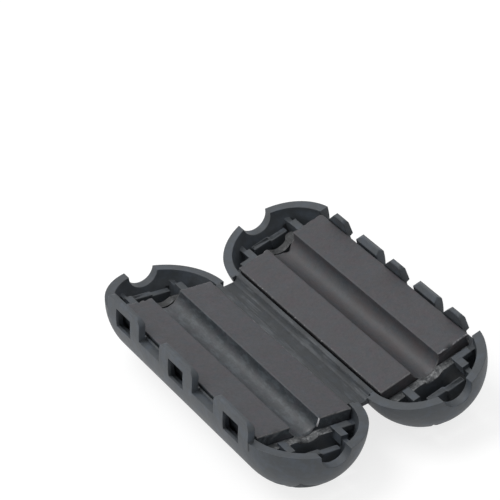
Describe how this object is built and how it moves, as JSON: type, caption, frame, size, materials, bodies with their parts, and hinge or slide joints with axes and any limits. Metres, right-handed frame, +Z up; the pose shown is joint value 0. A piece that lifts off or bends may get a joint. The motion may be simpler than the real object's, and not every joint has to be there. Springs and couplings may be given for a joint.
{
  "type": "clip-on ferrite bead",
  "caption": "Clip-on ferrite bead for a round lead, lying open: two folding plastic half cases, each with half of a grooved ferrite.",
  "frame": {"origin": "under the middle of the folding strap, on the surface that the open bead lies on", "axes": "+Y along the lead channel, +Z up, +X from the half with the catches to the half with the hooks"},
  "size_m": [0.0308, 0.0426, 0.011],
  "materials": {
    "case_plastic": "moulded, satin",
    "ferrite": "sintered, ground faces"
  },
  "bodies": {
    "catch half": {"catch_shell": "case_plastic", "catch_ferrite": "ferrite"},
    "strap": {"hinge_strap": "case_plastic"},
    "latch half": {"latch_shell": "case_plastic", "latch_ferrite": "ferrite"}
  },
  "joints": [
    {"name": "catch fold", "type": "hinge", "parent": "catch half", "child": "strap", "pos_m": [-0.00097, 0, 0.00523], "axis": [0, -1, 0], "range_deg": [-15, 79.5]},
    {"name": "latch fold", "type": "hinge", "parent": "strap", "child": "latch half", "pos_m": [0.00097, 0, 0.00523], "axis": [0, -1, 0], "range_deg": [-15, 79.5]}
  ],
  "couplings": [
    {"joint": "latch fold", "follows": "catch fold", "ratio": 1}
  ]
}
